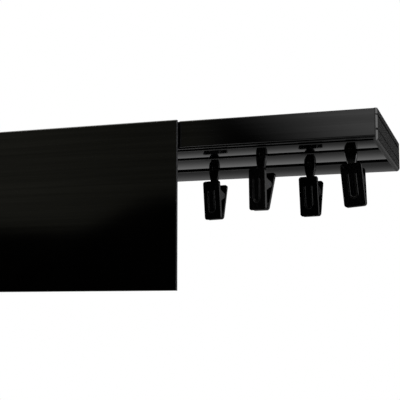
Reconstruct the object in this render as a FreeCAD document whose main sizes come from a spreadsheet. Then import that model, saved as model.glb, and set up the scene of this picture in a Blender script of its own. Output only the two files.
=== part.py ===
import FreeCAD, Part
import math
import os
import re
import Sketcher

# Two-channel ceiling curtain track with a clip-on front band, a deep fascia panel over
# its left half, an end cap at each end and four clip hangers that run in the slots.
# X runs along the track, Y to the rear, Z up. The origin lies in the ceiling plane,
# midway between the ends and midway between the two slots. Millimetres and degrees.

SIZES = {
    # track profile
    "track_length": 320.0,
    "track_height": 12.1,
    "front_reach": 36.9,
    "rear_reach": 41.8,
    "rear_drop": 0.4,
    "rear_fall": 0.6,
    "top_plate": 1.4,
    "bottom_plate": 1.3,
    "web": 1.2,
    "rear_wall": 1.4,
    "slot_spacing": 29.4,
    "slot_width": 5.8,
    "channel_width": 10.4,
    "lip_thickness": 1.2,
    "lip_raise": 0.4,
    "shadow_gap": 2.3,
    "shadow_gap_depth": 2.1,
    "catch_top": 2.3,
    "catch_bottom": 8.8,
    "catch_depth": 1.2,
    "edge_radius": 0.4,
    # screw holes
    "screw_spacing": 120.0,
    "screw_hole": 4.5,
    "driver_hole": 9.0,
    # end caps
    "cap_thickness": 1.8,
    "cap_recess": 0.2,
    "cap_rim": 1.1,
    "cap_front_chamfer": 0.7,
    "cap_rear_rim": 1.0,
    "undercut_top": 0.5,
    "undercut_bottom": 0.9,
    "undercut_depth": 0.5,
    "cap_edge_radius": 1.6,
    "tongue_length": 9.0,
    "tongue_fit": 0.15,
    # front band and fascia
    "band_thickness": 1.3,
    "band_height": 11.05,
    "band_length": 81.0,
    "fascia_thickness": 1.7,
    "fascia_height": 70.0,
    "fascia_gap": 1.5,
    "cover_gap": 0.2,
    "snap_leg": 0.9,
    "leg_setback": 6.0,
    "snap_tip_fit": 0.15,
    "cover_end_fit": 0.05,
    # glider in its channel
    "glider_length": 10.0,
    "glider_height": 3.4,
    "glider_side_fit": 0.3,
    "glider_lift": 0.08,
    "glider_flat": 4.0,
    "glider_rise": 0.6,
    "glider_corner": 1.5,
    # swivel stem and blade
    "stem_diameter": 2.4,
    "stem_fit": 0.08,
    "stem_head_diameter": 4.4,
    "stem_head_height": 1.2,
    "blade_gap": 0.1,
    "blade_top_width": 5.4,
    "blade_neck_width": 2.6,
    "blade_thickness": 1.8,
    "blade_curve": 16.0,
    "blade_chamfer": 0.3,
    "waist_drop": 0.6,
    "bridge_drop": 1.6,
    "neck_end": 10.6,
    # clip jaws
    "clip_top": 6.0,
    "clip_bottom": 23.8,
    "jaw_width": 9.0,
    "jaw_thickness": 1.1,
    "jaw_corner": 1.2,
    "jaw_edge": 0.25,
    "front_foot": 1.5,
    "front_lean": 5.6,
    "rear_foot": 1.3,
    "rear_lean": 12.4,
    "rear_top_step": 1.5,
    "thumb_radius": 4.0,
    "thumb_rise": 0.9,
    "thumb_depth": 0.4,
    "rib_half_width": 2.0,
    "rib_width": 0.8,
    "rib_height": 0.45,
    "rib_edge": 0.2,
    "rib_top": 4.4,
    "rib_bottom": 14.6,
    "bite_gap": 0.3,
    "tooth_pitch": 1.0,
    "tooth_depth": 0.3,
    "tooth_rise": 0.4,
    "tooth_inset": 0.3,
    # pivot and spring
    "pivot_drop": 12.7,
    "pivot_back": 0.5,
    "pin_diameter": 1.2,
    "pin_press_fit": 0.02,
    "pin_running_fit": 0.06,
    "pin_inset": 0.1,
    "lug_radius": 1.4,
    "ear_thickness": 0.8,
    "lug_thickness": 0.9,
    "lug_side_fit": 0.3,
    "wire": 0.5,
    "coil_radius": 1.25,
    "coil_turns": 6.5,
    "coil_pitch": 0.58,
    "spring_leg": 3.8,
    "spring_rest_fit": 0.1,
    # hangers' places
    "clip_1_from_end": 82.3,
    "clip_2_from_end": 52.0,
    "clip_3_from_end": 37.0,
    "clip_4_from_end": 14.1,
}

# Each clip hanger: the size that gives its distance from the track's right end, the slot
# it runs in (-1 front, +1 rear), its turn about its stem and how far it hangs out of plumb.
CLIPS = [
    {"from_end": "clip_1_from_end", "slot": 1, "turn": -16.0, "tilt": 0.0},
    {"from_end": "clip_2_from_end", "slot": -1, "turn": -25.0, "tilt": 3.0},
    {"from_end": "clip_3_from_end", "slot": 1, "turn": -11.0, "tilt": 0.0},
    {"from_end": "clip_4_from_end", "slot": -1, "turn": -3.0, "tilt": -4.0},
]

TEETH = 3
BAND_START = "(track_length / 2 - band_length)"

doc = FreeCAD.newDocument("CurtainTrack")
sheet = doc.addObject("Spreadsheet::Sheet", "Sizes")
for row, (alias, size) in enumerate(SIZES.items(), start=1):
    sheet.set("A%d" % row, alias)
    sheet.set("B%d" % row, str(size))
    sheet.setAlias("B%d" % row, alias)
doc.recompute()


def sized(text):
    """The expression with each size read from the sheet."""

    def from_sheet(match):
        word = match.group()
        return "Sizes." + word if word in SIZES else word

    return re.sub(r"[A-Za-z_][A-Za-z_0-9]*", from_sheet, text)


def value(text):
    """The number that an expression of the sheet's sizes gives now."""
    number = sheet.evalExpression(sized(text))
    return float(getattr(number, "Value", number))


def plane(body, role):
    for feature in body.Origin.OriginFeatures:
        if feature.Role == role:
            return feature


def new_body(label):
    body = doc.addObject("PartDesign::Body", label)
    body.Label = label
    return body


def new_sketch(body, name, role, offset="0", rise="0", lean=None):
    """A sketch on an origin plane, moved along its normal and up, and leaned about its X."""
    sketch = body.newObject("Sketcher::SketchObject", name)
    sketch.AttachmentSupport = [(plane(body, role), "")]
    sketch.MapMode = "FlatFace"
    turn = value(lean) if lean else 0.0
    place = FreeCAD.Vector(0, value(rise), value(offset))
    sketch.AttachmentOffset = FreeCAD.Placement(place, FreeCAD.Rotation(FreeCAD.Vector(1, 0, 0), turn))
    sketch.setExpression("AttachmentOffset.Base.z", sized(offset))
    sketch.setExpression("AttachmentOffset.Base.y", sized(rise))
    return sketch


def hold(sketch, geometry, end, across, up):
    """Fix one end of a sketch line or arc at a place given by two expressions."""
    for kind, text in (("DistanceX", across), ("DistanceY", up)):
        index = sketch.addConstraint(Sketcher.Constraint(kind, -1, 1, geometry, end, value(text)))
        sketch.setExpression("Constraints[%d]" % index, sized(text))


def draw_outline(sketch, corners):
    """A closed outline of straight lines through corners given as expressions."""
    points = [FreeCAD.Vector(value(across), value(up), 0) for across, up in corners]
    first = sketch.GeometryCount
    for index, point in enumerate(points):
        sketch.addGeometry(Part.LineSegment(point, points[(index + 1) % len(points)]))
    for index, (across, up) in enumerate(corners):
        following = first + (index + 1) % len(points)
        sketch.addConstraint(Sketcher.Constraint("Coincident", first + index, 2, following, 1))
        hold(sketch, first + index, 1, across, up)


def draw_box(sketch, left, low, right, high):
    draw_outline(sketch, [(left, low), (right, low), (right, high), (left, high)])


def draw_circle(sketch, across, up, radius):
    centre = FreeCAD.Vector(value(across), value(up), 0)
    index = sketch.addGeometry(Part.Circle(centre, FreeCAD.Vector(0, 0, 1), value(radius)))
    hold(sketch, index, 3, across, up)
    limit = sketch.addConstraint(Sketcher.Constraint("Radius", index, value(radius)))
    sketch.setExpression("Constraints[%d]" % limit, sized(radius))


def arc_through(start, middle, end):
    """An arc drawn anticlockwise through three points, and which of its ends is the start."""
    circle = Part.Arc(start, middle, end).toShape().Curve
    centre = circle.Center
    angles = [math.atan2(point.y - centre.y, point.x - centre.x) for point in (start, middle, end)]
    begin, halfway, finish = angles
    full = 2 * math.pi
    flat = Part.Circle(centre, FreeCAD.Vector(0, 0, 1), circle.Radius)
    if (halfway - begin) % full < (finish - begin) % full:
        return Part.ArcOfCircle(flat, begin, begin + (finish - begin) % full), 1
    return Part.ArcOfCircle(flat, finish, finish + (begin - finish) % full), 2


def draw_arc_outline(sketch, corners, arcs):
    """A closed outline whose sides are lines, or arcs through a given middle point.

    An arc is held by its radius, or by one coordinate of its centre where it is a half round.
    """
    points = [FreeCAD.Vector(value(across), value(up), 0) for across, up in corners]
    count = len(points)
    starts = []
    for index, point in enumerate(points):
        following = points[(index + 1) % count]
        if index in arcs:
            across, up = arcs[index][0]
            middle = FreeCAD.Vector(value(across), value(up), 0)
            curve, start = arc_through(point, middle, following)
        else:
            curve, start = Part.LineSegment(point, following), 1
        sketch.addGeometry(curve)
        starts.append(start)
    for index, (across, up) in enumerate(corners):
        following = (index + 1) % count
        last = 3 - starts[index]
        joined = Sketcher.Constraint("Coincident", index, last, following, starts[following])
        sketch.addConstraint(joined)
        hold(sketch, index, starts[index], across, up)
    for index, (middle, kind, text) in arcs.items():
        if kind == "Radius":
            limit = sketch.addConstraint(Sketcher.Constraint(kind, index, value(text)))
        else:
            limit = sketch.addConstraint(Sketcher.Constraint(kind, -1, 1, index, 3, value(text)))
        sketch.setExpression("Constraints[%d]" % limit, sized(text))


def extrude(body, kind, name, sketch, length, reverse=False):
    """Pad or pocket a sketch by a length given as an expression."""
    feature = body.newObject("PartDesign::" + kind, name)
    feature.Profile = sketch
    feature.Length = value(length)
    feature.setExpression("Length", sized(length))
    feature.Reversed = reverse
    sketch.Visibility = False
    doc.recompute()
    return feature


def round_edges(body, name, kind, size, choose):
    """Fillet or chamfer the edges of the body's tip that choose accepts."""
    base = body.Tip
    names = []
    for index, edge in enumerate(base.Shape.Edges, start=1):
        if choose(edge):
            names.append("Edge%d" % index)
    feature = body.newObject("PartDesign::" + kind, name)
    feature.Base = (base, names)
    measure = "Radius" if kind == "Fillet" else "Size"
    setattr(feature, measure, value(size))
    feature.setExpression(measure, sized(size))
    doc.recompute()
    return feature


def runs_along(edge, axis, length=0.0):
    """Whether an edge is straight along an axis and at least so long."""
    if len(edge.Vertexes) < 2 or edge.Curve.TypeId != "Part::GeomLine":
        return False
    run = edge.Vertexes[1].Point - edge.Vertexes[0].Point
    return run.Length > length and abs(abs(run.normalize().dot(axis)) - 1) < 1e-6


def is_blade_side(edge):
    curve = edge.Curve
    return curve.TypeId == "Part::GeomCircle" and abs(curve.Radius - value("blade_curve")) < 0.01


def track_profile():
    """The extrusion: two channels open below through slots, closed cells between them."""
    body = new_body("track_profile")
    end = "track_length / 2 - cap_thickness"
    length = "track_length - 2 * cap_thickness"
    blank = new_sketch(body, "TrackBlank", "YZ_Plane", "-(%s)" % end)
    rear_step = "slot_spacing / 2 + slot_width / 2"
    in_gap = "-front_reach + lip_thickness + shadow_gap / 2"
    draw_outline(blank, [
        ("-front_reach", "0"),
        ("-front_reach", "-track_height + lip_raise"),
        (in_gap, "-track_height + lip_raise"),
        (in_gap, "-track_height"),
        (rear_step, "-track_height"),
        (rear_step, "-track_height - rear_drop"),
        ("rear_reach", "-track_height - rear_drop - rear_fall"),
        ("rear_reach", "0"),
    ])
    extrude(body, "Pad", "TrackBody", blank, length)

    ceiling = "-top_plate"
    floor = "-track_height + bottom_plate"
    through = "track_length"
    half = "channel_width / 2"
    cells = new_sketch(body, "TrackCells", "YZ_Plane", "track_length / 2")
    front_cell = "-front_reach + lip_thickness + shadow_gap + web"
    for slot in ("-slot_spacing / 2", "slot_spacing / 2"):
        draw_box(cells, "%s - %s" % (slot, half), floor, "%s + %s" % (slot, half), ceiling)
    draw_box(cells, front_cell, floor, "-slot_spacing / 2 - %s - web" % half, ceiling)
    draw_box(cells, "-slot_spacing / 2 + %s + web" % half, floor, "slot_spacing / 2 - %s - web" % half, ceiling)
    draw_box(cells, "slot_spacing / 2 + %s + web" % half, floor, "rear_reach - rear_wall", ceiling)
    extrude(body, "Pocket", "TrackHollows", cells, through)

    slots = new_sketch(body, "TrackSlots", "YZ_Plane", "track_length / 2")
    below = "-track_height - rear_drop - rear_fall - 1"
    for slot in ("-slot_spacing / 2", "slot_spacing / 2"):
        draw_box(slots, "%s - slot_width / 2" % slot, below, "%s + slot_width / 2" % slot, "%s + 0.5" % floor)
    extrude(body, "Pocket", "SlotCuts", slots, through)

    gap = new_sketch(body, "ShadowGap", "YZ_Plane", "track_length / 2")
    gap_front = "-front_reach + lip_thickness"
    gap_rear = "-front_reach + lip_thickness + shadow_gap"
    draw_box(gap, gap_front, below, gap_rear, "-track_height + shadow_gap_depth")
    extrude(body, "Pocket", "ShadowGapCut", gap, through)
    inner = new_sketch(body, "ShadowGapInner", "YZ_Plane", "track_length / 2")
    draw_box(inner, "-front_reach + catch_depth + lip_thickness", below, gap_rear, ceiling)
    extrude(body, "Pocket", "ShadowGapInnerCut", inner, through)

    catch = new_sketch(body, "FrontCatch", "YZ_Plane", "track_length / 2")
    draw_box(catch, "-front_reach - 1", "-catch_bottom", "-front_reach + catch_depth", "-catch_top")
    extrude(body, "Pocket", "FrontCatchCut", catch, through)

    low = -value("track_height - lip_raise") + 0.01
    along = FreeCAD.Vector(1, 0, 0)

    def is_lower_edge(edge):
        return runs_along(edge, along, value("track_length") / 2) and edge.CenterOfMass.z < low

    round_edges(body, "LowerEdges", "Fillet", "edge_radius", is_lower_edge)

    screws = new_sketch(body, "ScrewHoles", "XY_Plane", "1")
    drivers = new_sketch(body, "DriverHoles", "XY_Plane", "-track_height / 2")
    for place in ("-screw_spacing / 2", "screw_spacing / 2"):
        draw_circle(screws, place, "0", "screw_hole / 2")
        draw_circle(drivers, place, "0", "driver_hole / 2")
    extrude(body, "Pocket", "ScrewHoleCut", screws, "top_plate + 2")
    extrude(body, "Pocket", "DriverHoleCut", drivers, "track_height")
    return body


def end_cap(label, side):
    """A side plate whose outer face has the same catch channel as the track's front."""
    body = new_body(label)

    def across(near, far):
        """The two X limits of a slab, given as depths in from the cap's outer face."""
        outer = "track_length / 2 - (%s)"
        if side > 0:
            return outer % near, outer % far
        return "-(" + outer % far + ")", "-(" + outer % near + ")"

    def slab(name, near, far, kind, boxes):
        """Pad boxes outwards or pocket them between two depths from the outer face."""
        low, high = across(near, far)
        start = low if kind == "Pad" else high
        sketch = new_sketch(body, name + "Sketch", "YZ_Plane", start)
        for box in boxes:
            draw_box(sketch, *box)
        return extrude(body, kind, name, sketch, "(%s) - (%s)" % (high, low))

    front = "-front_reach - band_thickness"
    foot = "-track_height - rear_drop - rear_fall"
    plate = (front, foot, "rear_reach", "0")
    slab("Plate", "cap_thickness", "0", "Pad", [plate])
    corner = FreeCAD.Vector(0, 1, 0)
    outer_x = side * value("track_length / 2")
    low_z = value(foot)

    def low_outer(edge):
        if not runs_along(edge, corner, value("rear_reach")):
            return False
        middle = edge.CenterOfMass
        return abs(middle.x - outer_x) < 0.01 and abs(middle.z - low_z) < 0.01

    upright = FreeCAD.Vector(0, 0, 1)
    front_y = value(front)

    def front_outer(edge):
        if not runs_along(edge, upright):
            return False
        middle = edge.CenterOfMass
        return abs(middle.x - outer_x) < 0.01 and abs(middle.y - front_y) < 0.01

    round_edges(body, "FrontEdge", "Chamfer", "cap_front_chamfer", front_outer)
    round_edges(body, "LowerEdge", "Fillet", "cap_edge_radius", low_outer)
    beyond_front = front + " - 1"
    rear_end = "rear_reach - cap_rear_rim"
    recess = (front + " + cap_front_chamfer", "-catch_bottom", rear_end, "-catch_top")
    slab("Recess", "cap_recess", "-1", "Pocket", [recess])
    undercut = "cap_recess + undercut_depth"
    upper = (beyond_front, "-catch_top - undercut_top", rear_end, "-catch_top")
    lower = (beyond_front, "-catch_bottom", rear_end, "-catch_bottom + undercut_bottom")
    slab("Undercuts", undercut, "-1", "Pocket", [upper, lower])
    rabbet = (beyond_front, foot + " - 1", "-front_reach", "1")
    slab("BandRabbet", "cap_thickness + 1", "cap_rim", "Pocket", [rabbet])
    fit = "tongue_fit"
    half = "channel_width / 2"
    roof = "-top_plate - " + fit
    floor = "-track_height + bottom_plate + " + fit
    first = "-front_reach + lip_thickness + shadow_gap + web + " + fit
    tongues = [
        (first, floor, "-slot_spacing / 2 - %s - web - %s" % (half, fit), roof),
        ("-slot_spacing / 2 + %s + web + %s" % (half, fit), floor,
         "slot_spacing / 2 - %s - web - %s" % (half, fit), roof),
        ("slot_spacing / 2 + %s + web + %s" % (half, fit), floor, "rear_reach - rear_wall - %s" % fit, roof),
    ]
    slab("Tongues", "cap_thickness + tongue_length", "cap_thickness", "Pad", tongues)
    return body


def snap_legs(back):
    """Two snap legs from a cover's back face, bearing on the lips of the front catch."""
    tip = "-front_reach + catch_depth - snap_tip_fit"
    return [
        (back, "-catch_top - snap_leg", tip, "-catch_top"),
        (back, "-catch_bottom", tip, "-catch_bottom + snap_leg"),
    ]


def cover(label, back, thickness, drop, strip, legs):
    """A flat cover strip on snap legs, with the limits of each along the track."""
    body = new_body(label)
    face = new_sketch(body, label + "_face", "YZ_Plane", strip[0])
    front = "%s - %s" % (back, thickness)
    draw_box(face, front, "-" + drop, back, "0")
    extrude(body, "Pad", label + "_strip", face, "(%s) - (%s)" % (strip[1], strip[0]))
    along = FreeCAD.Vector(1, 0, 0)
    face_y = value(front)

    def is_front_edge(edge):
        return runs_along(edge, along) and abs(edge.CenterOfMass.y - face_y) < 1e-6

    round_edges(body, label + "_edges", "Fillet", "edge_radius", is_front_edge)
    snap = new_sketch(body, label + "_legs", "YZ_Plane", legs[0])
    for box in snap_legs(back):
        draw_box(snap, *box)
    extrude(body, "Pad", label + "_snap", snap, "(%s) - (%s)" % (legs[1], legs[0]))
    return body


def front_band():
    """The low strip that covers the track's front beyond the fascia, let into the end cap."""
    strip = (BAND_START, "track_length / 2 - cap_rim - cover_end_fit")
    legs = (BAND_START, "track_length / 2 - cap_thickness - cover_end_fit")
    return cover("front_band", "-front_reach", "band_thickness", "band_height", strip, legs)


def fascia_panel():
    """The deep cover panel, which stands off the track's front on longer snap legs."""
    back = "-front_reach - band_thickness - fascia_gap"
    end = BAND_START + " - cover_gap"
    strip = ("-track_length / 2", end)
    legs = ("-track_length / 2 + cap_thickness + cover_end_fit", end + " - leg_setback")
    return cover("fascia_panel", back, "fascia_thickness", "fascia_height", strip, legs)


def glider(label):
    """A block with upswept ends that slides in a channel, bored for the swivel stem."""
    body = new_body(label)
    base = "bottom_plate + glider_lift"
    wide = "(channel_width / 2 - glider_side_fit)"
    profile = new_sketch(body, label + "_profile", "XZ_Plane", "-" + wide)
    draw_outline(profile, [
        ("-glider_flat / 2", base),
        ("glider_flat / 2", base),
        ("glider_length / 2", base + " + glider_rise"),
        ("glider_length / 2", base + " + glider_height"),
        ("-glider_length / 2", base + " + glider_height"),
        ("-glider_length / 2", base + " + glider_rise"),
    ])
    extrude(body, "Pad", label + "_block", profile, "2 * " + wide)
    upright = FreeCAD.Vector(0, 0, 1)
    round_edges(body, label + "_corners", "Fillet", "glider_corner", lambda edge: runs_along(edge, upright))
    bore = new_sketch(body, label + "_bore", "XY_Plane", base + " + glider_height + 1")
    draw_circle(bore, "0", "0", "stem_diameter / 2 + stem_fit")
    extrude(body, "Pocket", label + "_bore_cut", bore, "glider_height + 2")
    return body


def inner_face(foot, lean, up):
    """How far a leaning jaw's inner face lies from the clip's middle plane at a height."""
    return "(%s - jaw_thickness / cos(%s * 1 deg) + (%s) * tan(%s * 1 deg))" % (foot, lean, up, lean)


def saw_teeth(body, label, side):
    """A toothed lip at the bottom of a jaw, from inside its plate to the bite line."""
    sketch = new_sketch(body, label + "_teeth", "YZ_Plane", "-jaw_width / 2 + tooth_inset")
    foot = "front_foot" if side < 0 else "rear_foot"
    bite = "%d * bite_gap / 2" % side
    root = "%d * (bite_gap / 2 + tooth_depth)" % side
    seat = "%d * (%s - jaw_thickness / 3)" % (side, foot)
    corners = [(seat, "-clip_bottom + tooth_rise")]
    for tooth in range(TEETH):
        low = "-clip_bottom + tooth_rise + %d * tooth_pitch" % tooth
        corners.append((bite, low))
        corners.append((bite, low + " + tooth_pitch / 2"))
        corners.append((root, low + " + tooth_pitch * 0.7"))
        corners.append((root, low + " + tooth_pitch * 0.98"))
    corners.append((seat, "-clip_bottom + tooth_rise + %d * tooth_pitch" % TEETH))
    draw_outline(sketch, corners)
    extrude(body, "Pad", label + "_lip", sketch, "jaw_width - 2 * tooth_inset")


def pivot_lugs(body, label, side, outer, thickness, seat_top, seat_low):
    """Two rounded lugs from a jaw plate to the pivot, each side of the middle."""
    for hand in (-1, 1):
        start = "%s - %s" % (outer, thickness) if hand > 0 else "-(%s)" % outer
        sketch = new_sketch(body, "%s_lug_%d" % (label, hand + 1), "YZ_Plane", start)
        top = "-pivot_drop + lug_radius"
        low = "-pivot_drop - lug_radius"
        corners = [
            (seat_top, "-pivot_drop + 2 * lug_radius"),
            ("pivot_back", top),
            ("pivot_back", low),
            (seat_low, "-pivot_drop - 2 * lug_radius"),
        ]
        nose = ("pivot_back + %d * lug_radius" % -side, "-pivot_drop")
        draw_arc_outline(sketch, corners, {1: (nose, "DistanceX", "pivot_back")})
        extrude(body, "Pad", "%s_lug_pad_%d" % (label, hand + 1), sketch, thickness)


def pin_bore(body, label, fit):
    bore = new_sketch(body, label + "_pin_bore", "YZ_Plane", "jaw_width")
    draw_circle(bore, "pivot_back", "-pivot_drop", "pin_diameter / 2 + " + fit)
    extrude(body, "Pocket", label + "_pin_cut", bore, "2 * jaw_width")


def jaw_plate(body, label, side, height):
    """A leaning rounded plate, drawn on its outer face from the clip's foot upwards."""
    foot = "front_foot" if side < 0 else "rear_foot"
    lean = "front_lean" if side < 0 else "-rear_lean"
    offset = foot if side < 0 else "-" + foot
    sketch = new_sketch(body, label + "_face", "XZ_Plane", offset, "-clip_bottom", lean)
    draw_box(sketch, "-jaw_width / 2", "0", "jaw_width / 2", height)
    extrude(body, "Pad", label + "_plate", sketch, "jaw_thickness", side < 0)
    normal = sketch.Placement.Rotation.multVec(FreeCAD.Vector(0, 0, 1))
    round_edges(body, label + "_corners", "Fillet", "jaw_corner", lambda edge: runs_along(edge, normal))
    outer = sketch.Placement.Base

    def on_outer_face(edge):
        return all(abs((vertex.Point - outer).dot(normal)) < 1e-6 for vertex in edge.Vertexes)

    round_edges(body, label + "_edges", "Fillet", "jaw_edge", on_outer_face)
    thumb = new_sketch(body, label + "_thumb", "XZ_Plane", offset, "-clip_bottom", lean)
    draw_circle(thumb, "0", "%s + thumb_rise" % height, "thumb_radius")
    extrude(body, "Pocket", label + "_thumb_hollow", thumb, "thumb_depth", side > 0)


def thumb_rib(body, label, height):
    """A raised rib in a long U on the front jaw's outer face."""
    sketch = new_sketch(body, label + "_rib", "XZ_Plane", "front_foot", "-clip_bottom", "front_lean")
    top = "%s - rib_top" % height
    turn = "%s - rib_bottom + rib_half_width" % height
    inner = "(rib_half_width - rib_width)"
    corners = [
        ("-rib_half_width", top),
        ("-rib_half_width", turn),
        ("rib_half_width", turn),
        ("rib_half_width", top),
        (inner, top),
        (inner, turn),
        ("-" + inner, turn),
        ("-" + inner, top),
    ]
    arcs = {
        1: (("0", turn + " - rib_half_width"), "DistanceY", turn),
        5: (("0", turn + " - " + inner), "DistanceY", turn),
    }
    draw_arc_outline(sketch, corners, arcs)
    extrude(body, "Pad", label + "_rib_pad", sketch, "rib_height")
    normal = sketch.Placement.Rotation.multVec(FreeCAD.Vector(0, 0, 1))
    crest = sketch.Placement.Base + normal * value("rib_height")

    def on_crest(edge):
        return all(abs((vertex.Point - crest).dot(normal)) < 1e-6 for vertex in edge.Vertexes)

    round_edges(body, label + "_rib_edges", "Fillet", "rib_edge", on_crest)


def front_jaw(label):
    """Stem, blade and front jaw, moulded in one; origin on the stem at slot level."""
    body = new_body(label)
    height = "(clip_bottom - clip_top) / cos(front_lean * 1 deg)"
    jaw_plate(body, label, -1, height)
    thumb_rib(body, label, height)

    bridge = new_sketch(body, label + "_bridge", "YZ_Plane", "-blade_neck_width / 2")
    back = "blade_thickness / 2"
    upper = "-clip_top - bridge_drop"
    at_top = inner_face("front_foot", "front_lean", "clip_bottom - clip_top - bridge_drop")
    at_low = inner_face("front_foot", "front_lean", "clip_bottom - neck_end")
    draw_outline(bridge, [
        ("-%s - jaw_thickness / 2" % at_top, upper),
        ("-%s - jaw_thickness / 2" % at_low, "-neck_end"),
        (back, "-neck_end"),
        (back, upper),
    ])
    extrude(body, "Pad", label + "_bridge_pad", bridge, "blade_neck_width")

    blade = new_sketch(body, label + "_blade", "XZ_Plane", "-blade_thickness / 2")
    crown = "-blade_gap"
    waist = "-clip_top - waist_drop"
    wide = "blade_top_width / 2"
    slim = "blade_neck_width / 2"
    bulge = "(blade_top_width + blade_neck_width) / 4 + 0.32"
    middle = "-(blade_gap + clip_top + waist_drop) / 2"
    corners = [
        ("-" + wide, crown),
        ("-" + slim, waist),
        ("-" + slim, "-neck_end"),
        (slim, "-neck_end"),
        (slim, waist),
        (wide, crown),
    ]
    arcs = {
        0: (("-(%s)" % bulge, middle), "Radius", "blade_curve"),
        4: ((bulge, middle), "Radius", "blade_curve"),
    }
    draw_arc_outline(blade, corners, arcs)
    extrude(body, "Pad", label + "_blade_pad", blade, "blade_thickness")
    round_edges(body, label + "_blade_edges", "Chamfer", "blade_chamfer", is_blade_side)

    stem = new_sketch(body, label + "_stem", "XY_Plane", "-blade_gap - 0.5")
    draw_circle(stem, "0", "0", "stem_diameter / 2")
    head_base = "bottom_plate + glider_lift + glider_height + stem_fit"
    extrude(body, "Pad", label + "_stem_pad", stem, head_base + " + blade_gap + 0.5")
    head = new_sketch(body, label + "_head", "XY_Plane", head_base)
    draw_circle(head, "0", "0", "stem_head_diameter / 2")
    extrude(body, "Pad", label + "_head_pad", head, "stem_head_height")

    seat_top = "-" + inner_face("front_foot", "front_lean", "clip_bottom - pivot_drop + 2 * lug_radius")
    seat_low = "-" + inner_face("front_foot", "front_lean", "clip_bottom - pivot_drop - 2 * lug_radius")
    into = " - jaw_thickness / 3"
    pivot_lugs(body, label, -1, "jaw_width / 2", "ear_thickness", seat_top + into, seat_low + into)
    pin_bore(body, label, "pin_press_fit")
    saw_teeth(body, label, -1)
    return body


def rear_jaw(label):
    """The hinged jaw: a leaning plate with two lugs on the pin, inside the front ears."""
    body = new_body(label)
    height = "(clip_bottom - clip_top - rear_top_step) / cos(rear_lean * 1 deg)"
    jaw_plate(body, label, 1, height)
    seat_top = inner_face("rear_foot", "rear_lean", "clip_bottom - pivot_drop + 2 * lug_radius")
    seat_low = inner_face("rear_foot", "rear_lean", "clip_bottom - pivot_drop - 2 * lug_radius")
    into = " + jaw_thickness / 3"
    outer = "jaw_width / 2 - ear_thickness - lug_side_fit"
    pivot_lugs(body, label, 1, outer, "lug_thickness", seat_top + into, seat_low + into)
    pin_bore(body, label, "pin_running_fit")
    saw_teeth(body, label, 1)
    return body


def pivot_pin(label):
    pin = doc.addObject("Part::Cylinder", label)
    pin.Label = label
    pin.setExpression("Radius", sized("pin_diameter / 2"))
    pin.setExpression("Height", sized("jaw_width - 2 * pin_inset"))
    centre = FreeCAD.Vector(-value("jaw_width / 2 - pin_inset"), value("pivot_back"), -value("pivot_drop"))
    pin.Placement = FreeCAD.Placement(centre, FreeCAD.Rotation(FreeCAD.Vector(0, 1, 0), 90))
    return pin


def spring(label):
    """A torsion spring: a coil round the pin and a leg against each jaw's handle."""
    wire = value("wire") / 2
    radius = value("coil_radius")
    pitch = value("coil_pitch")
    width = pitch * value("coil_turns")
    centre = FreeCAD.Vector(0, value("pivot_back"), -value("pivot_drop"))
    helix = Part.makeHelix(pitch, width, radius)
    heading = FreeCAD.Vector(0, radius, pitch / (2 * math.pi))
    section = Part.Wire(Part.makeCircle(wire, FreeCAD.Vector(radius, 0, 0), heading))
    shape = Part.Wire(helix).makePipeShell([section], True, True)
    # The coil is laid along X, with its first end to the rear and its last to the front.
    shape.rotate(FreeCAD.Vector(0, 0, 0), FreeCAD.Vector(0, 0, 1), 90)
    shape.rotate(FreeCAD.Vector(0, 0, 0), FreeCAD.Vector(0, 1, 0), -90)
    shape.translate(centre + FreeCAD.Vector(width / 2, 0, 0))
    reach = value("spring_leg")
    up = value("clip_bottom - pivot_drop + spring_leg")
    faces = {
        1: value(inner_face("rear_foot", "rear_lean", str(up))),
        -1: value(inner_face("front_foot", "front_lean", str(up))),
    }
    for side, face in faces.items():
        root = centre + FreeCAD.Vector(side * width / 2, side * radius, 0)
        rest = side * (face - wire - value("spring_rest_fit"))
        tip = FreeCAD.Vector(root.x, rest, centre.z + reach)
        leg = Part.makeCylinder(wire, (tip - root).Length, root, tip - root)
        shape = shape.fuse([leg, Part.makeSphere(wire, root), Part.makeSphere(wire, tip)])
    feature = doc.addObject("Part::Feature", label)
    feature.Label = label
    feature.Shape = shape
    return feature


def hang(piece, clip, turns=True):
    """Hang a piece from its slot: turned about the stem, and out of plumb with its glider."""
    lift = value("glider_flat") / 2 * math.sin(math.radians(abs(clip["tilt"])))
    along = value("track_length / 2 - " + clip["from_end"])
    across = clip["slot"] * value("slot_spacing") / 2
    base = FreeCAD.Vector(along, across, lift - value("track_height"))
    tilt = FreeCAD.Rotation(FreeCAD.Vector(0, 1, 0), clip["tilt"])
    turn = FreeCAD.Rotation(FreeCAD.Vector(0, 0, 1), clip["turn"] if turns else 0.0)
    local = piece.Placement if piece.TypeId == "Part::Cylinder" else FreeCAD.Placement()
    piece.Placement = FreeCAD.Placement(base, tilt * turn) * local


def clip_hanger(number, clip):
    """The pieces of one hanger, all hung at the same place."""
    name = "clip_%d_" % number
    slider = glider(name + "glider")
    hang(slider, clip, turns=False)
    hung = [
        front_jaw(name + "front_jaw"),
        rear_jaw(name + "rear_jaw"),
        pivot_pin(name + "pivot_pin"),
        spring(name + "spring"),
    ]
    for piece in hung:
        hang(piece, clip)
    return [slider] + hung


def check(pieces):
    """Stop before anything is written if an object failed or a shape is not sound."""
    for item in doc.Objects:
        if "Invalid" in item.State or "Error" in item.State:
            raise RuntimeError("%s is %s" % (item.Label, item.State))
    for piece in pieces:
        shape = piece.Shape
        if shape.isNull() or not shape.isValid() or len(shape.Solids) != 1:
            raise RuntimeError("%s is not one sound solid" % piece.Label)


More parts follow.
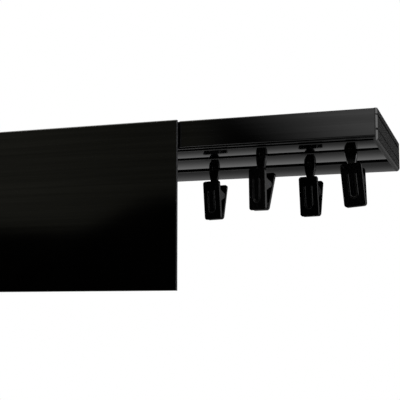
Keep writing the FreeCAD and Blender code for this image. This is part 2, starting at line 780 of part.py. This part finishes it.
pieces = [
    track_profile(),
    end_cap("end_cap_right", 1),
    end_cap("end_cap_left", -1),
    front_band(),
    fascia_panel(),
]
for number, clip in enumerate(CLIPS, start=1):
    pieces += clip_hanger(number, clip)
doc.recompute()
check(pieces)
os.makedirs("parts", exist_ok=True)
for piece in pieces:
    piece.Shape.exportStep("parts/%s.step" % piece.Label)
    print("%s: %.1f mm3" % (piece.Label, piece.Shape.Volume))
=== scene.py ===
import math

import bpy
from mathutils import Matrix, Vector

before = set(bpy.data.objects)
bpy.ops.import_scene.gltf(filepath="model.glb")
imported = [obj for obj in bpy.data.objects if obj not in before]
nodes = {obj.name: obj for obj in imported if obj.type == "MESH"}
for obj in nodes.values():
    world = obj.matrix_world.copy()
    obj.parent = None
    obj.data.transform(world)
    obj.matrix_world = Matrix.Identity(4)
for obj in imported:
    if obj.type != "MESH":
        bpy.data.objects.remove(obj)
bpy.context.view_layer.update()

# Looks for a ceiling curtain track in gloss black plastic, seen from below its right end.
print("frame loaded:", len(nodes), "nodes")


def linearColour(hexText):
    # sRGB hex to the linear colour that shaders use
    channels = []
    for place in (1, 3, 5):
        value = int(hexText[place:place + 2], 16) / 255
        channels.append(value / 12.92 if value <= 0.04045 else ((value + 0.055) / 1.055) ** 2.4)
    return (*channels, 1.0)


def addNode(tree, kind, settings=None, inputs=None, links=None):
    # one node with its settings, its fixed inputs and the sockets that feed it
    node = tree.nodes.new(kind)
    for name, value in (settings or {}).items():
        setattr(node, name, value)
    for name, value in (inputs or {}).items():
        node.inputs[name].default_value = value
    for name, source in (links or {}).items():
        tree.links.new(source, node.inputs[name])
    return node


def gather(tree, operation, values):
    # one value from several, joined two at a time
    total = values[0]
    for value in values[1:]:
        joined = addNode(tree, "ShaderNodeMath", settings={"operation": operation},
                         links={0: total, 1: value})
        total = joined.outputs["Value"]
    return total


def newMaterial(name):
    # a material, its empty tree, and the place on the piece in metres
    material = bpy.data.materials.new(name)
    material.use_nodes = True
    tree = material.node_tree
    tree.nodes.clear()
    return material, tree, addNode(tree, "ShaderNodeTexCoord").outputs["Object"]


def addPattern(tree, place, sizeMm, detail=2.0, stretch=(1, 1, 1), roughness=0.55):
    # noise about sizeMm across, drawn out along the axes that stretch makes small
    mapping = addNode(tree, "ShaderNodeMapping", inputs={"Scale": stretch}, links={"Vector": place})
    noise = addNode(tree, "ShaderNodeTexNoise",
                    inputs={"Scale": 1000 / sizeMm, "Detail": detail, "Roughness": roughness},
                    links={"Vector": mapping.outputs["Vector"]})
    return noise.outputs["Fac"]


def addSkin(tree, pattern, values):
    # a colour and a roughness that change together over a pattern; a colour Mix node has its
    # A and B at 6 and 7 and its result at 2, because other sockets share their names
    first, second = (linearColour(hexText) for hexText in values["colours"])
    smooth, rough = values["roughness"]
    colour = addNode(tree, "ShaderNodeMix", settings={"data_type": "RGBA"},
                     inputs={6: first, 7: second}, links={"Factor": pattern})
    roughness = addNode(tree, "ShaderNodeMapRange", inputs={"To Min": smooth, "To Max": rough},
                        links={"Value": pattern})
    return colour.outputs[2], roughness.outputs["Result"]


def addSurface(tree, inputs, links):
    shader = addNode(tree, "ShaderNodeBsdfPrincipled", inputs=inputs, links=links)
    addNode(tree, "ShaderNodeOutputMaterial", links={"Surface": shader.outputs["BSDF"]})


def setMaterial(names, material):
    for name in names:
        node = nodes[name]
        node.data.materials.clear()
        node.data.materials.append(material)


plasticIor = 1.5  # PVC, ABS, nylon and acetal all lie near it

# Extruded PVC with a glossy skin: drawn through a polished die, so it mirrors what is
# under it, with faint streaks along its length, and its soffit strips bow a little.
track = {
    "colours": ("#020203", "#050506"),
    "roughness": (0.05, 0.09),
    "streakMm": 0.9,
    "streakStretch": (0.02, 1, 1),
    "dieLineMm": 0.25,
    "dieLineStretch": (0.01, 1, 1),
    "dieLineDepthMm": 0.0012,
    "dieLineStrength": 0.3,
    "bowDegrees": 2.2,
    "stripEdgesMm": [(-33.4, -17.6), (-11.8, 11.8), (17.6, 41.8)],
    "soffitLimit": -0.9,  # faces whose normal points further down than this bow
}


def makeTrackPlastic():
    material, tree, place = newMaterial("extrudedGlossPvc")
    streaks = addPattern(tree, place, track["streakMm"], stretch=track["streakStretch"])
    colour, roughness = addSkin(tree, streaks, track)
    across = addNode(tree, "ShaderNodeSeparateXYZ", links={"Vector": place}).outputs["Y"]
    normal = addNode(tree, "ShaderNodeNewGeometry").outputs["Normal"]
    upward = addNode(tree, "ShaderNodeSeparateXYZ", links={"Vector": normal}).outputs["Z"]
    # the bow: each soffit strip's normal leans forward at its front edge, back at its rear
    lean = math.tan(math.radians(track["bowDegrees"]))
    leans = []
    for low, high in track["stripEdgesMm"]:
        middle = (low + high) / 2000
        half = (high - low) / 2000
        slope = addNode(tree, "ShaderNodeMapRange",
                        inputs={"From Min": middle - half, "From Max": middle + half,
                                "To Min": -lean, "To Max": lean},
                        links={"Value": across})
        inside = addNode(tree, "ShaderNodeMath", settings={"operation": "COMPARE"},
                         inputs={1: middle, 2: half}, links={0: across})
        leans.append(gather(tree, "MULTIPLY", [slope.outputs["Result"], inside.outputs["Value"]]))
    below = addNode(tree, "ShaderNodeMath", settings={"operation": "LESS_THAN"},
                    inputs={1: track["soffitLimit"]}, links={0: upward})
    amount = gather(tree, "MULTIPLY", [gather(tree, "ADD", leans), below.outputs["Value"]])
    offset = addNode(tree, "ShaderNodeCombineXYZ", links={"Y": amount})
    bowed = addNode(tree, "ShaderNodeVectorMath", settings={"operation": "ADD"},
                    links={0: normal, 1: offset.outputs["Vector"]})
    bowedUnit = addNode(tree, "ShaderNodeVectorMath", settings={"operation": "NORMALIZE"},
                        links={0: bowed.outputs["Vector"]})
    dieLines = addPattern(tree, place, track["dieLineMm"], detail=1.0, stretch=track["dieLineStretch"])
    bump = addNode(tree, "ShaderNodeBump",
                   inputs={"Strength": track["dieLineStrength"],
                           "Distance": track["dieLineDepthMm"] / 1000},
                   links={"Height": dieLines, "Normal": bowedUnit.outputs["Vector"]})
    addSurface(tree, {"IOR": plasticIor},
               {"Base Color": colour, "Roughness": roughness, "Normal": bump.outputs["Normal"]})
    return material


# Extruded gloss PVC covers: a calm skin with a slight orange peel and faint drawn streaks
# in its shine, and sawn ends that are duller and painted a lighter grey: a painted highlight
# for the light they catch from the right.
cover = {
    "colours": ("#010101", "#030303"),
    "roughness": (0.05, 0.075),
    "cloudMm": 18.0,
    "streakMm": 1.4,
    "streakStretch": (0.015, 1, 1),
    "streakSpan": (0.3, 0.7),  # the part of the noise over which the shine runs
    "shine": (0.40, 0.58),
    "peelMm": 2.5,
    "peelDepthMm": 0.0025,
    "peelStrength": 0.25,
    # painted highlight: the sawn ends' grey stands for the light they catch from the right
    "sawnHighlightColour": "#6a6a6c",
    "sawnRoughness": 0.3,
    "sawLineMm": 0.35,
    "sawLineStretch": (1, 1, 0.15),
    "sawnLimit": 0.9,  # faces whose normal lies further along the track than this are sawn
}


def makeCoverPlastic():
    material, tree, place = newMaterial("extrudedCoverPvc")
    clouds = addPattern(tree, place, cover["cloudMm"], detail=3.0)
    skin, gloss = addSkin(tree, clouds, cover)
    normal = addNode(tree, "ShaderNodeNewGeometry").outputs["Normal"]
    way = addNode(tree, "ShaderNodeSeparateXYZ", links={"Vector": normal})
    endways = addNode(tree, "ShaderNodeMath", settings={"operation": "ABSOLUTE"},
                      links={0: way.outputs["X"]})
    sawn = addNode(tree, "ShaderNodeMath", settings={"operation": "GREATER_THAN"},
                   inputs={1: cover["sawnLimit"]}, links={0: endways.outputs["Value"]})
    sawLines = addPattern(tree, place, cover["sawLineMm"], stretch=cover["sawLineStretch"])
    # the sawn ends' painted highlight, broken up by saw lines
    sawnHighlightTone = addNode(tree, "ShaderNodeMix", settings={"data_type": "RGBA"},
                      inputs={6: linearColour(cover["colours"][0]), 7: linearColour(cover["sawnHighlightColour"])},
                      links={"Factor": sawLines})
    colour = addNode(tree, "ShaderNodeMix", settings={"data_type": "RGBA"},
                     links={"Factor": sawn.outputs["Value"], 6: skin, 7: sawnHighlightTone.outputs[2]})
    roughness = addNode(tree, "ShaderNodeMix", settings={"data_type": "FLOAT"},
                        inputs={"B": cover["sawnRoughness"]},
                        links={"Factor": sawn.outputs["Value"], "A": gloss})
    peel = addPattern(tree, place, cover["peelMm"], detail=1.0)
    bump = addNode(tree, "ShaderNodeBump",
                   inputs={"Strength": cover["peelStrength"], "Distance": cover["peelDepthMm"] / 1000},
                   links={"Height": peel})
    streaks = addPattern(tree, place, cover["streakMm"], detail=3.0, stretch=cover["streakStretch"])
    shine = addNode(tree, "ShaderNodeMapRange",
                    inputs={"From Min": cover["streakSpan"][0], "From Max": cover["streakSpan"][1],
                            "To Min": cover["shine"][0], "To Max": cover["shine"][1]},
                    links={"Value": streaks})
    addSurface(tree, {"IOR": plasticIor},
               {"Base Color": colour.outputs[2], "Roughness": roughness.outputs["Result"],
                "Specular IOR Level": shine.outputs["Result"], "Normal": bump.outputs["Normal"]})
    return material


# Moulded plastics: the tool's fine spark grain breaks up the highlights. Real grain is near
# 0.1 mm; it is drawn coarser, so that it is not far below a pixel in the photo's view.
def makeMouldedPlastic(name, values):
    material, tree, place = newMaterial(name)
    clouds = addPattern(tree, place, values["cloudMm"], detail=3.0)
    colour, roughness = addSkin(tree, clouds, values)
    grain = addPattern(tree, place, values["grainMm"])
    bump = addNode(tree, "ShaderNodeBump",
                   inputs={"Strength": values["grainStrength"], "Distance": values["grainDepthMm"] / 1000},
                   links={"Height": grain})
    addSurface(tree, {"IOR": plasticIor},
               {"Base Color": colour, "Roughness": roughness, "Normal": bump.outputs["Normal"]})
    return material


# ABS caps: satin black, so that rounded edges catch a soft line.
cap = {
    "colours": ("#060606", "#0a0a0a"),
    "roughness": (0.22, 0.30),
    "cloudMm": 6.0,
    "grainMm": 0.35,
    "grainDepthMm": 0.006,
    "grainStrength": 0.35,
}
# Nylon clips: smoother than the caps and a deeper black.
clip = {
    "colours": ("#010102", "#030304"),
    "roughness": (0.15, 0.21),
    "cloudMm": 3.0,
    "grainMm": 0.25,
    "grainDepthMm": 0.004,
    "grainStrength": 0.35,
}
# Acetal gliders, which slide dry: a waxy, duller black.
glider = {
    "colours": ("#0e0e0f", "#151516"),
    "roughness": (0.42, 0.52),
    "cloudMm": 2.0,
    "grainMm": 0.3,
    "grainDepthMm": 0.004,
    "grainStrength": 0.3,
}


# Steel in a dark grey that catches light softly, with fine lines round it.
def makeSteel(name, values):
    material, tree, place = newMaterial(name)
    lines = addPattern(tree, place, values["lineMm"], stretch=values["lineStretch"])
    colour, roughness = addSkin(tree, lines, values)
    bump = addNode(tree, "ShaderNodeBump",
                   inputs={"Strength": values["lineStrength"], "Distance": values["lineDepthMm"] / 1000},
                   links={"Height": lines})
    addSurface(tree, {"Metallic": 1.0},
               {"Base Color": colour, "Roughness": roughness, "Normal": bump.outputs["Normal"]})
    return material


# Drawn spring wire, and ground pin stock a little lighter than it.
springWire = {
    "colours": ("#242527", "#3e3f43"),
    "roughness": (0.30, 0.44),
    "lineMm": 0.12,
    "lineStretch": (1, 1, 0.3),
    "lineDepthMm": 0.004,
    "lineStrength": 0.3,
}
pinStock = {
    "colours": ("#434448", "#626368"),
    "roughness": (0.32, 0.46),
    "lineMm": 0.1,
    "lineStretch": (1, 0.2, 0.2),
    "lineDepthMm": 0.004,
    "lineStrength": 0.3,
}


def onEachClip(*pieces):
    return ["clip_%d_%s" % (number, piece) for number in (1, 2, 3, 4) for piece in pieces]


setMaterial(["track_profile"], makeTrackPlastic())
setMaterial(["front_band", "fascia_panel"], makeCoverPlastic())
setMaterial(["end_cap_right", "end_cap_left"], makeMouldedPlastic("mouldedAbs", cap))
setMaterial(onEachClip("front_jaw", "rear_jaw"), makeMouldedPlastic("mouldedClipNylon", clip))
setMaterial(onEachClip("glider"), makeMouldedPlastic("mouldedAcetal", glider))
setMaterial(onEachClip("spring"), makeSteel("drawnSpringSteel", springWire))
setMaterial(onEachClip("pivot_pin"), makeSteel("groundPinSteel", pinStock))
print("materials set")

# The surround is white for the camera. What the gloss mirrors is graded by direction and
# dimmer than that white, because the photo's black plastic mirrors a dim room.
# A fade names an axis of the mirrored direction, the two places on it between which the
# level changes smoothly, and the levels before and after. A light is a product of fades.
# Two more axes are heights: "slanted" over a slope in x, and "aboveVeil" over the veil's edge.
inFront = ("y", -0.5, 0.0, 1.0, 0.0)
behind = ("y", 0.0, 0.5, 0.0, 1.0)
risingOpen = ("z", -0.4, 0.3, 0.1, 0.6)
veilEnd = ("x", -0.315, -0.265, 1.0, 0.0)
surround = {
    "ambient": 0.3,
    "cardSlope": 0.65,  # how far the front card's lower edge falls, per unit of x
    "veilEdge": ("x", -0.44, -0.345, 0.080, 0.116),  # the height of the veil's lower edge
    "veilColour": "#fffee7",
    # lights that add up
    "cards": {
        # right of centre; its lower edge slants, so that the band darkens to the left
        "front": [("slanted", 0.01945, 0.14195, 0.0, 1.12), ("x", 0.15, 0.50, 1.0, 0.0), inFront],
        # faint and warm, with a curved lower edge; it ends across the fascia
        "veil": [("x", -0.50, -0.34, 0.175, 0.11), ("aboveVeil", 0.0, 0.024, 0.0, 1.0), veilEnd, inFront],
        # a floor that darkens towards the track, the dim wall over it, and a card on the wall
        "rearFloor": [("z", -0.26, -0.05, 0.04, 0.27), ("z", -0.05, 0.02, 1.0, 0.0), behind],
        "rearWall": [("z", 0.05, 0.12, 0.02, 0.035), behind],
        "rearCard": [("x", 0.28, 0.34, 0.0, 0.35), ("x", 0.40, 0.48, 1.0, 0.0),
                     ("z", 0.06, 0.12, 0.0, 1.0), behind],
        # at both ends, for rounded edges to catch as thin lines; the left one is narrow, so
        # that neither the clips' flat faces nor the fascia's back pass its light on
        "left": [("x", -0.95, -0.80, 1.3, 0.0), ("y", -0.10, 0.0, 0.0, 1.0), ("y", 0.22, 0.34, 1.0, 0.0)],
        "right": [("x", 0.80, 0.92, 0.0, 1.0), ("y", -0.05, 0.2, 2.6, 0.3)],
    },
    # open studio, where the photo's view mirrors only edges; the brightest of these shows
    "open": {
        "right": [("x", 0.60, 0.80, 0.0, 1.0), risingOpen],
        "left": [("x", -0.80, -0.62, 1.0, 0.0), inFront, risingOpen],
        "above": [("z", 0.30, 0.8, 0.0, 0.8)],
        "below": [("z", -0.8, -0.5, 0.35, 0.0)],
    },
}


def addLight(tree, sources, fades):
    levels = []
    for axis, start, end, before, after in fades:
        fade = addNode(tree, "ShaderNodeMapRange", settings={"interpolation_type": "SMOOTHSTEP"},
                       inputs={"From Min": start, "From Max": end, "To Min": before, "To Max": after},
                       links={"Value": sources[axis]})
        levels.append(fade.outputs["Result"])
    return gather(tree, "MULTIPLY", levels)


def makeWorld():
    world = bpy.data.worlds.new("studioSurround")
    bpy.context.scene.world = world
    world.use_nodes = True
    tree = world.node_tree
    tree.nodes.clear()
    rays = addNode(tree, "ShaderNodeLightPath").outputs
    direction = addNode(tree, "ShaderNodeTexCoord").outputs["Generated"]
    axes = addNode(tree, "ShaderNodeSeparateXYZ", links={"Vector": direction}).outputs
    sources = {"x": axes["X"], "y": axes["Y"], "z": axes["Z"]}
    slanted = addNode(tree, "ShaderNodeMath", settings={"operation": "MULTIPLY_ADD"},
                      inputs={1: surround["cardSlope"]}, links={0: sources["x"], 2: sources["z"]})
    sources["slanted"] = slanted.outputs["Value"]
    edge = addLight(tree, sources, [surround["veilEdge"]])
    sources["aboveVeil"] = gather(tree, "SUBTRACT", [sources["z"], edge])
    cards = [addLight(tree, sources, fades) for fades in surround["cards"].values()]
    openSpace = [addLight(tree, sources, fades) for fades in surround["open"].values()]
    seen = gather(tree, "ADD", cards + [gather(tree, "MAXIMUM", openSpace)])
    mirrored = gather(tree, "MULTIPLY", [rays["Is Glossy Ray"], seen])
    clear = gather(tree, "MAXIMUM", [rays["Is Camera Ray"], rays["Is Transmission Ray"]])
    ambient = addNode(tree, "ShaderNodeMath", settings={"operation": "MULTIPLY"},
                      inputs={1: surround["ambient"]}, links={0: rays["Is Diffuse Ray"]})
    strength = gather(tree, "ADD", [clear, mirrored, ambient.outputs["Value"]])
    warmth = gather(tree, "MULTIPLY", [addLight(tree, sources, [inFront, veilEnd]), rays["Is Glossy Ray"]])
    tint = addNode(tree, "ShaderNodeMix", settings={"data_type": "RGBA"},
                   inputs={6: (1, 1, 1, 1), 7: linearColour(surround["veilColour"])},
                   links={"Factor": warmth})
    background = addNode(tree, "ShaderNodeBackground",
                         links={"Color": tint.outputs[2], "Strength": strength})
    addNode(tree, "ShaderNodeOutputWorld", links={"Surface": background.outputs["Background"]})


# Pale floor paper: it keeps the object's shadow and glows near white for the camera.
floorPaper = {
    "heightM": -0.6,
    "reachM": 4.5,
    "colour": "#959595",
    "glow": 0.85,
}


def makeFloor():
    reach = floorPaper["reachM"]
    mesh = bpy.data.meshes.new("studioFloor")
    corners = [(x * reach, y * reach, floorPaper["heightM"]) for x, y in ((-1, -1), (1, -1), (1, 1), (-1, 1))]
    mesh.from_pydata(corners, [], [(0, 1, 2, 3)])
    floor = bpy.data.objects.new("studioFloor", mesh)
    bpy.context.scene.collection.objects.link(floor)
    material = bpy.data.materials.new("paleFloorPaper")
    material.use_nodes = True
    tree = material.node_tree
    tree.nodes.clear()
    rays = addNode(tree, "ShaderNodeLightPath").outputs
    paper = addNode(tree, "ShaderNodeBsdfDiffuse", inputs={"Color": linearColour(floorPaper["colour"])})
    glow = addNode(tree, "ShaderNodeEmission", inputs={"Color": (1, 1, 1, 1), "Strength": floorPaper["glow"]})
    both = addNode(tree, "ShaderNodeAddShader", links={0: paper.outputs["BSDF"], 1: glow.outputs["Emission"]})
    seen = gather(tree, "MAXIMUM", [rays["Is Camera Ray"], rays["Is Transmission Ray"]])
    choose = addNode(tree, "ShaderNodeMixShader",
                     links={0: seen, 1: paper.outputs["BSDF"], 2: both.outputs["Shader"]})
    addNode(tree, "ShaderNodeOutputMaterial", links={"Surface": choose.outputs["Shader"]})
    mesh.materials.append(material)
    floor.visible_glossy = False


# Soft lamps at a plain level, all aimed at the track.
lampTarget = (0.02, 0.0, -0.02)
lamps = {
    "softboxLeft": {"at": (-0.75, -0.75, 1.05), "size": 0.9, "power": 9.0},
    "softboxRight": {"at": (1.0, -0.45, 0.95), "size": 0.8, "power": 5.0},
    "softboxRear": {"at": (0.1, 1.1, 0.95), "size": 0.9, "power": 6.0},
    "underFill": {"at": (-0.5, 0.5, -0.55), "size": 0.7, "power": 1.5},
}


def makeLamps():
    for name, values in lamps.items():
        light = bpy.data.lights.new(name, "AREA")
        light.size = values["size"]
        light.energy = values["power"]
        lamp = bpy.data.objects.new(name, light)
        lamp.location = values["at"]
        lamp.rotation_euler = (Vector(lampTarget) - lamp.location).to_track_quat("-Z", "Y").to_euler()
        bpy.context.scene.collection.objects.link(lamp)


# The photo's camera, fitted to the track's edges.
view = {
    "at": (0.20264, -0.38724, -0.07930),
    "towards": (-0.3098, 0.9427, 0.1242),
    "lensMm": 81.95,
    "sensorMm": 36.0,
    "nearestM": 0.01,
}


def makeCamera():
    data = bpy.data.cameras.new("photoCamera")
    data.lens = view["lensMm"]
    data.sensor_width = view["sensorMm"]
    data.clip_start = view["nearestM"]
    camera = bpy.data.objects.new("photoCamera", data)
    camera.location = view["at"]
    camera.rotation_euler = Vector(view["towards"]).to_track_quat("-Z", "Y").to_euler()
    bpy.context.scene.collection.objects.link(camera)
    bpy.context.scene.camera = camera


makeWorld()
makeFloor()
makeLamps()
makeCamera()
bpy.context.scene.view_settings.view_transform = "Standard"
print("studio and camera set")
